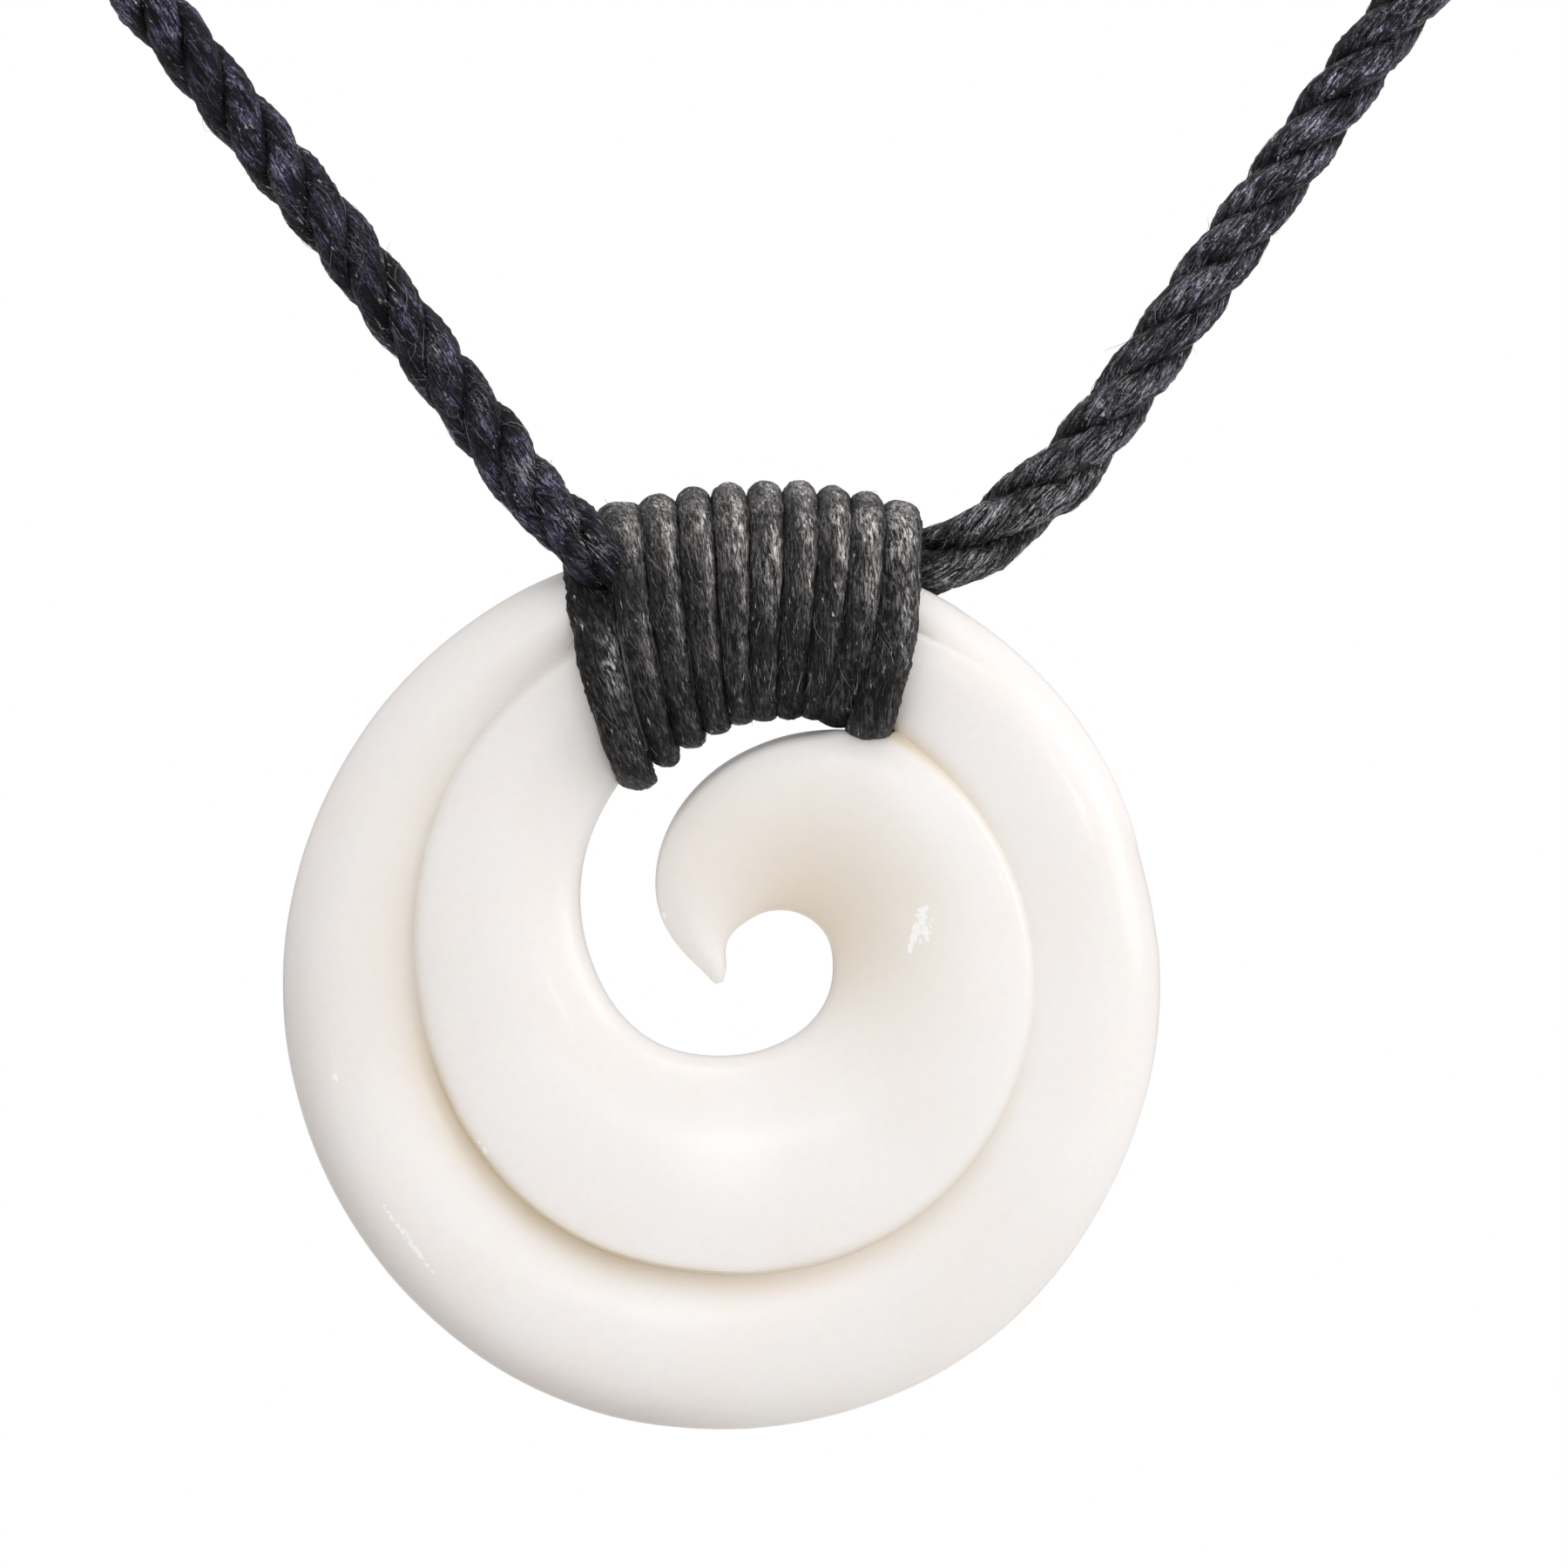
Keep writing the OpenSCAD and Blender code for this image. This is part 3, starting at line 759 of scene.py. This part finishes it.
# %% Leave the unevenness of hand sanding
sanding = bpy.data.textures.new("sanding", "CLOUDS")
sanding.noise_scale = 5 * MM
sanding.noise_basis = "IMPROVED_PERLIN"
sanding.noise_depth = 1
sanding.use_clamp = False
uneven = bone.modifiers.new("uneven", "DISPLACE")
uneven.texture = sanding
uneven.texture_coords = "LOCAL"
uneven.strength = 0.08 * MM
uneven.mid_level = 0.5
select(bone)
bpy.ops.object.modifier_apply(modifier="uneven")
bpy.ops.object.shade_smooth_by_angle(angle=math.radians(50))
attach(bone, "root")
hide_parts("koru")
print("Bone:", np.round(np.ptp(np.array(bone.bound_box), axis=0) / MM, 1), "mm")

# %% [markdown]
# ## Tan and painted light on the bone
# Handled bone turns tan in its crease and in the hollow beside the hook; that tan also stands
# in for the shade there, so it is partly painted shade, and a painted shadow of the raised coil
# lies beside the crease at the left. Painted shade darkens the lower-left rim, the left of the
# outer turn and the bone beside the lashing, and a painted highlight lies on the lowest turn.
# These follow the carving, so each is worked out from a point's place and kept in an attribute,
# which the finish reads later.

# %% Mark the tan and painted shade in the crease
# The crease by its turn angle and radius about the eye, as in the part's source
crease_rows = np.array([
    (62, 9.42), (45, 9.35), (30, 9.30), (0, 9.42), (-30, 9.86), (-60, 10.48), (-90, 11.10),
    (-105, 11.40), (-120, 11.92), (-135, 12.34), (-150, 12.57), (-180, 12.92), (-210, 13.45),
    (-240, 13.50), (-270, 13.25), (-300, 13.25),
])
# How strong the shade in the crease is, and how wide on its outer side, by turn angle
shade_rows = np.array([
    (62, 0.90, 0.45), (45, 0.45, 0.40), (30, 0.20, 0.35), (0, 0.06, 0.25), (-30, 0.24, 0.38),
    (-60, 0.42, 0.72), (-90, 0.55, 0.85), (-120, 0.72, 0.80), (-150, 0.70, 0.80),
    (-165, 0.46, 0.80), (-180, 0.18, 0.70), (-210, 0.10, 0.65), (-240, 0.14, 0.60),
    (-285, 0.15, 0.50), (-300, 0.0, 0.30),
])
crease_turn = np.arange(62, -301, -1.0)
along_crease = np.interp(-crease_turn, -crease_rows[:, 0], crease_rows[:, 1]) + 0.06
tree = kdtree.KDTree(len(crease_turn))
for i, (a, r) in enumerate(zip(np.radians(crease_turn), along_crease)):
    tree.insert((eye[0] + r * math.cos(a), 0, eye[1] + r * math.sin(a)), i)
tree.balance()
places, angle, radius = disc_places(bone_mesh)
nearest = [tree.find((x, 0, z)) for x, _, z in places]
found = np.array([hit[1] for hit in nearest])
gap = np.array([hit[2] for hit in nearest])
outside = radius > along_crease[found]
inner_reach = 0.2
strength, outer_reach = (
    np.interp(-crease_turn[found], -shade_rows[:, 0], shade_rows[:, i]) for i in (1, 2)
)
crease_tan_and_shade = strength * np.exp(-((gap / np.where(outside, outer_reach, inner_reach)) ** 2))
at_left = np.exp(-(((crease_turn[found] + 180) / 32) ** 2))
# Painted shadow: the raised coil's shadow on the outer turn beside the crease, at the left
painted_shadow_beside_crease = 0.22 * outside * np.exp(-((gap / 1.9) ** 2)) * at_left
print("In the crease: mean", round(float(crease_tan_and_shade.mean()), 3))

# %% Mark the tan and painted shade in the hollow beside the hook
hollow_turn, hollow_start, hollow_reach = 48, 2.0, 5.8
towards = (0.5 + 0.5 * np.cos(np.radians(angle - hollow_turn))) ** 1.8
hollow_tan_and_shade = 0.70 * towards * np.clip(1 - (radius - hollow_start) / hollow_reach, 0, 1) ** 0.9
# The share holds tan patina and painted shade together
tan_and_shade_share = np.clip(crease_tan_and_shade + painted_shadow_beside_crease + hollow_tan_and_shade, 0, 1)
store(bone_mesh, "tan", tan_and_shade_share)
print("Tan share: mean", round(float(tan_and_shade_share.mean()), 3))

# %% Paint shade on the rim at the lower left, on the left of the outer turn and beside the lashing
# Turn about the middle of the disc, and how strong the painted shade on the rim is there
painted_rim_shade_rows = np.array([
    (-200, 0), (-190, 0.2), (-180, 0.42), (-160, 0.92), (-145, 1.05), (-100, 1.05), (-85, 0.5),
    (-70, 0.25), (-55, 0.05), (-40, 0), (160, 0),
])
disc_r = 16.02
disc_turn = np.degrees(np.arctan2(places[:, 2], places[:, 0]))
inside_rim = np.clip(disc_r - np.hypot(places[:, 0], places[:, 2]), 0, None)
row_turn = np.where(disc_turn > 160, disc_turn - 360, disc_turn)
by_turn = np.interp(row_turn, painted_rim_shade_rows[:, 0], painted_rim_shade_rows[:, 1])
painted_shade = by_turn * np.exp(-((inside_rim / 0.95) ** 1.6))
painted_shade_at_left = np.exp(-(((np.mod(disc_turn, 360) - 158) / 32) ** 2)) * outside
painted_shadow_by_lashing = around_spot(places, -5.9, 8.9, 4, 4)
painted_shade = np.clip(painted_shade + 0.15 * painted_shade_at_left + 0.22 * painted_shadow_by_lashing, 0, 1)
store(bone_mesh, "painted_shade", painted_shade)
print("Dusky share: mean", round(float(painted_shade.mean()), 3))

# %% Paint a soft highlight on the lowest turn
painted_highlight = around_spot(places, 0.2, -6.0, 2.0, 1.5)
store(bone_mesh, "painted_highlight", painted_highlight)
print("Glow: mean", round(float(painted_highlight.mean()), 3))

# %% [markdown]
# ## Helpers for the finishes
# Each finish is a small tree of nodes in front of one shader. Such a tree can be clicked
# together by hand. In a script, a few short calls with plain names keep it readable.


# %% A finish with short calls for its nodes
class Finish:
    """A named material with a Principled shader."""

    def __init__(self, name, **shader):
        self.material = bpy.data.materials.new(name)
        self.material.use_nodes = True
        self.nodes = self.material.node_tree.nodes
        self.links = self.material.node_tree.links
        self.shader = self.nodes["Principled BSDF"]
        for socket, value in shader.items():
            self.shader.inputs[socket.replace("_", " ")].default_value = value

    def node(self, kind, links=None, **settings):
        """A node with its links, its inputs (in_...) and its settings."""
        made = self.nodes.new(kind)
        for key, value in settings.items():
            if key.startswith("in_"):
                made.inputs[key[3:].replace("_", " ")].default_value = value
            else:
                setattr(made, key, value)
        for socket, source in (links or {}).items():
            self.links.new(source, made.inputs[socket])
        return made

    def stored(self, name, output="Fac"):
        """What the piece keeps under a name at each point."""
        return self.node("ShaderNodeAttribute", attribute_name=name).outputs[output]

    def noise(self, where, scale, detail, **settings):
        """Cloudy noise from 0 to 1."""
        return self.node(
            "ShaderNodeTexNoise", {"Vector": where}, in_Scale=scale, in_Detail=detail, **settings
        ).outputs["Fac"]

    def ramp(self, source, *stops):
        """A colour for each value, by stops of place and colour."""
        made = self.node("ShaderNodeValToRGB", {"Fac": source})
        elements = made.color_ramp.elements
        while len(elements) < len(stops):
            elements.new(0.5)
        for element, (place, colour) in zip(elements, stops):
            element.position = place
            element.color = (*colour, 1)
        return made.outputs["Color"]

    def mix(self, share, a, b, blend="MIX"):
        """Two colours mixed by a share, which may be a number or a node's output."""
        made = self.nodes.new("ShaderNodeMix")
        made.data_type = "RGBA"
        made.blend_type = blend
        for socket, value in ((0, share), (6, a), (7, b)):
            if hasattr(value, "is_linked"):
                self.links.new(value, made.inputs[socket])
            else:
                made.inputs[socket].default_value = value
        return made.outputs[2]

    def plug(self, socket, source):
        """Leads a node's output into the shader."""
        self.links.new(source, self.shader.inputs[socket])

    def bump(self, height, strength, distance):
        """Fine relief that only the light shows."""
        made = self.node(
            "ShaderNodeBump", {"Height": height}, in_Strength=strength, in_Distance=distance
        )
        self.plug("Normal", made.outputs["Normal"])

    def put_on(self, *pieces):
        """Gives pieces this finish alone."""
        for piece in pieces:
            piece.data.materials.clear()
            piece.data.materials.append(self.material)
            print(piece.name, "wears", self.material.name)


BLACK, WHITE = (0, 0, 0), (1, 1, 1)


def grey(value, tint=(1, 1, 1)):
    """A grey, or a tint of it."""
    return tuple(value * t for t in tint)


# %% [markdown]
# ## Waxed cotton
# Near-black cotton shows fine grey fibres along the strand, darker tufts and flecks of pale
# wax; where the stored share marks them, the pale flecks are painted highlights, and the
# stored tone carries painted shade and painted highlights. Noise that is stretched along the
# stored fibre direction gives the streaks at the size of real fibres, which a plain noise in
# space would smear across the twist.


# %% Cotton with wax on it
def waxed_cotton(name, tint, dark, mid, pale, wax_tone, hollows, stretch, seed):
    """Near-black cotton with fine grey fibres along the strand, flecks of wax and painted
    highlights, and the stored painted light.
    """
    finish = Finish(name, Specular_IOR_Level=0.12, Sheen_Weight=0.02, Sheen_Roughness=0.4)
    place = finish.stored("fibre", "Vector")

    def along(stretch, scale, detail, distortion=0.0):
        """Noise drawn out along the strand."""
        long_way = finish.node(
            "ShaderNodeMapping", {"Vector": place}, in_Scale=(1, 1, stretch),
            in_Location=(seed + scale, 0, 0),
        ).outputs["Vector"]
        return finish.noise(long_way, scale, detail, in_Roughness=0.65, in_Distortion=distortion)

    hairs = along(stretch, 13.0, 3.0, 0.8)
    tangle = along(0.60, 10.0, 3.0, 1.2)
    clumps = along(0.40, 3.2, 2.0, 0.5)
    patches = along(0.50, 0.9, 1.0)
    flecks = along(0.28, 6.0, 2.0, 0.5)
    body = finish.ramp(
        hairs, (0.38, grey(dark, tint)), (0.50, grey(mid, tint)), (0.65, grey(pale, tint))
    )
    for dimming, low, dimmest, high in (
        (tangle, 0.38, hollows + 0.1, 0.62),
        (clumps, 0.38, hollows, 0.62),
        (patches, 0.36, hollows + 0.1, 0.60),
    ):
        shade = finish.ramp(dimming, (low, grey(dimmest)), (high, grey(1.0)))
        body = finish.mix(1.0, body, shade, "MULTIPLY")
    # The stored tone brings in painted shade and painted highlights
    body = finish.mix(1.0, body, finish.stored("lit", "Color"), "MULTIPLY")
    wax_flecks = finish.ramp(flecks, (0.66, BLACK), (0.76, WHITE))
    wax_on_hairs = finish.ramp(hairs, (0.50, BLACK), (0.62, WHITE))
    # Pale wax, and painted highlights where the stored share marks them
    wax = finish.mix(finish.stored("pale"), wax_flecks, wax_on_hairs)
    finish.plug("Base Color", finish.mix(wax, body, (*grey(wax_tone), 1)))
    finish.plug("Roughness", finish.ramp(flecks, (0.45, grey(0.50)), (0.72, grey(0.28))))
    finish.bump(hairs, 1.0, 0.06 * MM)
    return finish


strand_finish = waxed_cotton(
    "waxed_strand", tint=(1, 0.96, 0.95), dark=0.012, mid=0.10, pale=0.36, wax_tone=0.60,
    hollows=0.38, stretch=0.2, seed=3.0,
)
cord_finish = waxed_cotton(
    "waxed_cord", tint=(0.95, 0.92, 1.28), dark=0.003, mid=0.07, pale=0.50, wax_tone=0.50,
    hollows=0.15, stretch=0.16, seed=9.0,
)
strand_finish.put_on(lashing)
cord_finish.put_on(cord_left, cord_right)

# %% Loose fibres, each with its own tone
fuzz_finish = Finish("loose_fibres", Roughness=0.5, Specular_IOR_Level=0.2)
fuzz_colour = fuzz_finish.ramp(
    fuzz_finish.stored("tone"), (0.0, grey(0.003)), (1.0, grey(0.34))
)
fuzz_finish.plug("Base Color", fuzz_colour)
fuzz_finish.put_on(left_fuzz, right_fuzz, lashing_fuzz)

# %% [markdown]
# ## Polished bone
# Polished bone is milky: some light goes in and comes out beside its point of entry, and a
# thin gloss lies over it. The shader's subsurface and coat give both. The colour is a warm
# ivory with faint clouds, and the stored tan, painted shade and painted highlight are laid
# over it.

# %% Ivory with faint clouds and a fine grain
bone_finish = Finish(
    "polished_bone", Specular_IOR_Level=0.5, Subsurface_Weight=0.25,
    Subsurface_Scale=1.2 * MM, Subsurface_Radius=(1.0, 0.75, 0.55), Coat_Weight=0.22,
    Coat_Roughness=0.14,
)
position = bone_finish.node("ShaderNodeTexCoord").outputs["Object"]
clouds = bone_finish.noise(position, 170.0, 0.0)
blush = bone_finish.noise(position, 260.0, 0.0)
grain = bone_finish.noise(position, 3200.0, 3.0)
specks = bone_finish.noise(position, 5500.0, 1.0)
ivory = bone_finish.ramp(clouds, (0.0, (0.877, 0.864, 0.852)), (1.0, (0.943, 0.936, 0.934)))
pink = bone_finish.ramp(blush, (0.0, WHITE), (1.0, (1.0, 0.958, 0.942)))
ivory = bone_finish.mix(1.0, ivory, pink, "MULTIPLY")
fine = bone_finish.ramp(grain, (0.35, grey(0.985)), (0.6, grey(1.0)))
ivory = bone_finish.mix(1.0, ivory, fine, "MULTIPLY")
print("Nodes for the ivory:", len(bone_finish.nodes))

# %% Lay the stored tan, painted shade and painted highlight over the ivory
TAN_AND_SHADE, PAINTED_SHADE_GREY, PAINTED_HIGHLIGHT_COLOUR = (0.73, 0.61, 0.44), (0.655, 0.635, 0.625), (0.985, 0.972, 0.960)
bone_with_tan_and_painted_light = bone_finish.mix(bone_finish.stored("tan"), ivory, (*TAN_AND_SHADE, 1))
painted_darkening = bone_finish.ramp(bone_finish.stored("painted_shade"), (0, WHITE), (1, PAINTED_SHADE_GREY))
bone_with_tan_and_painted_light = bone_finish.mix(1.0, bone_with_tan_and_painted_light, painted_darkening, "MULTIPLY")
bone_with_tan_and_painted_light = bone_finish.mix(bone_finish.stored("painted_highlight"), bone_with_tan_and_painted_light, (*PAINTED_HIGHLIGHT_COLOUR, 1))
print("Nodes with the shades:", len(bone_finish.nodes))

# %% Painted highlights: spots where the polish catches the light are made white
# x, z, half width, half height, lean in degrees, share
painted_glint_spots = [
    (7.04, 2.25, 0.26, 1.25, 18, 1.1), (7.38, 2.33, 0.20, 0.62, -12, 1.1),
    (7.30, 2.95, 0.38, 0.38, 0, 1.0), (7.30, 2.40, 0.70, 1.10, 0, 0.6),
    (12.98, 7.1, 0.17, 0.90, -30, 1.1), (-11.4, -9.0, 0.18, 3.0, -36, 0.9),
    (-14.12, -3.0, 0.18, 0.3, -15, 1), (-8.8, -5.5, 0.16, 0.7, -35, 0.8),
    (-2.18, 2.83, 0.2, 0.2, 0, 1.2),
]
spot_y, spot_depth = -4.2, 4
painted_glint_share = None
for x, z, w, h, lean, most in painted_glint_spots:
    near = bone_finish.node(
        "ShaderNodeMapping", {"Vector": position}, vector_type="TEXTURE",
        in_Location=(x * MM, spot_y * MM, z * MM - DROP),
        in_Rotation=(0, math.radians(lean), 0), in_Scale=(w * MM, spot_depth * MM, h * MM),
    ).outputs["Vector"]
    spot = bone_finish.node("ShaderNodeTexGradient", {"Vector": near}, gradient_type="SPHERICAL")
    spot = bone_finish.ramp(spot.outputs["Fac"], (0, BLACK), (0.6, grey(0.5 * most)))
    painted_glint_share = spot if painted_glint_share is None else bone_finish.mix(1.0, painted_glint_share, spot, "LIGHTEN")
painted_glint_share = bone_finish.mix(1.0, painted_glint_share, specks, "ADD")
painted_glint_share = bone_finish.ramp(painted_glint_share, (0.85, BLACK), (0.95, WHITE))
print("Polished spots:", len(painted_glint_spots))

# %% Finish the bone
spot_gloss = 0.08
# Painted highlights: the glint spots make the base colour white, and the bone glossier there
bone_finish.plug("Base Color", bone_finish.mix(painted_glint_share, bone_with_tan_and_painted_light, (*WHITE, 1)))
dull = bone_finish.ramp(grain, (0.2, grey(0.29)), (0.8, grey(0.34)))
bone_finish.plug("Roughness", bone_finish.mix(painted_glint_share, dull, (*grey(spot_gloss), 1)))
bone_finish.bump(grain, 0.08, 0.01 * MM)
bone_finish.put_on(bone)

# %% [markdown]
# ## Moulded clasp
# A moulded barrel is even black with a faint speckle. One fine noise for its colour, its
# gloss and its relief is enough to keep it from looking like a flat colour.

# %% Speckled black
clasp_finish = Finish("moulded_black", Roughness=0.35, Specular_IOR_Level=0.5)
clasp_place = clasp_finish.node("ShaderNodeTexCoord").outputs["Object"]
speckle = clasp_finish.noise(clasp_place, 2500.0, 3.0)
black_tones = clasp_finish.ramp(speckle, (0.3, grey(0.012)), (0.7, grey(0.026)))
clasp_finish.plug("Base Color", black_tones)
clasp_finish.plug("Roughness", clasp_finish.ramp(speckle, (0.3, grey(0.3)), (0.7, grey(0.45))))
clasp_finish.bump(speckle, 0.2, 0.01 * MM)
clasp_finish.put_on(clasp)

# %% [markdown]
# ## Studio
# A white background, a pale floor under the hanging necklace, wide soft lights from the
# right and from above, and small lights from both sides, as for a small piece on a light table.

# %% Pale floor
deselect()
bpy.ops.mesh.primitive_plane_add(size=0.7, location=(0, 0.05, -0.2))
floor = bpy.context.object
floor.name = "floor"
floor_finish = Finish("pale_floor", Roughness=0.8)
floor_finish.shader.inputs["Base Color"].default_value = (0.86, 0.86, 0.85, 1)
floor_finish.put_on(floor)

# %% White background, and a sky that is brightest above and in front
sky_lean = (0.05, -0.19, 0.36)
sky_middle = 0.57
world = bpy.data.worlds.new("studio")
bpy.context.scene.world = world
world.use_nodes = True
sky = world.node_tree
ambient = sky.nodes["Background"]
ambient.inputs["Color"].default_value = (1, 0.988, 0.978, 1)
backdrop = sky.nodes.new("ShaderNodeBackground")
backdrop.inputs["Color"].default_value = (1, 1, 1, 1)
seen = sky.nodes.new("ShaderNodeLightPath")
either = sky.nodes.new("ShaderNodeMixShader")
facing = sky.nodes.new("ShaderNodeTexCoord")
leaning = sky.nodes.new("ShaderNodeVectorMath")
leaning.operation = "DOT_PRODUCT"
leaning.inputs[1].default_value = sky_lean
sky_strength = sky.nodes.new("ShaderNodeMath")
sky_strength.inputs[1].default_value = sky_middle
sky.links.new(facing.outputs["Generated"], leaning.inputs[0])
sky.links.new(leaning.outputs["Value"], sky_strength.inputs[0])
sky.links.new(sky_strength.outputs["Value"], ambient.inputs["Strength"])
sky.links.new(seen.outputs["Is Camera Ray"], either.inputs["Fac"])
sky.links.new(ambient.outputs["Background"], either.inputs[1])
sky.links.new(backdrop.outputs["Background"], either.inputs[2])
sky.links.new(either.outputs["Shader"], sky.nodes["World Output"].inputs["Surface"])
bpy.context.scene.view_settings.view_transform = "Standard"
print("Sky strength square to its lean:", sky_middle)


# %% Soft lights and two small sparks
def softbox(name, place, aim, width, height, watts):
    """A rectangular light at a place, turned towards its aim."""
    deselect()
    bpy.ops.object.light_add(type="AREA", location=place)
    lamp = bpy.context.object
    lamp.name = name
    lamp.data.shape = "RECTANGLE"
    lamp.data.size = width
    lamp.data.size_y = height
    lamp.data.energy = watts
    way = np.array(aim) - np.array(place)
    lamp.rotation_euler = (
        math.atan2(math.hypot(way[0], way[1]), -way[2]), 0, math.atan2(way[0], -way[1]) + math.pi
    )


pendant = (0, 0, -DROP)
for name, place, width, height, watts in (
    ("wide_right", (0.58, -0.25, 0.06), 0.30, 0.45, 0.85),
    ("wide_above", (0.12, -0.22, 0.42), 0.30, 0.30, 0.45),
    ("front_above", (0.0, -0.62, -0.03), 0.14, 0.08, 0.12),
    ("spark_right", (0.335, -0.595, -0.01), 0.015, 0.05, 0.06),
    ("spark_left", (-0.315, -0.615, -0.235), 0.015, 0.04, 0.05),
):
    softbox(name, place, pendant, width, height, watts)
    print(name, "gives", watts, "W")
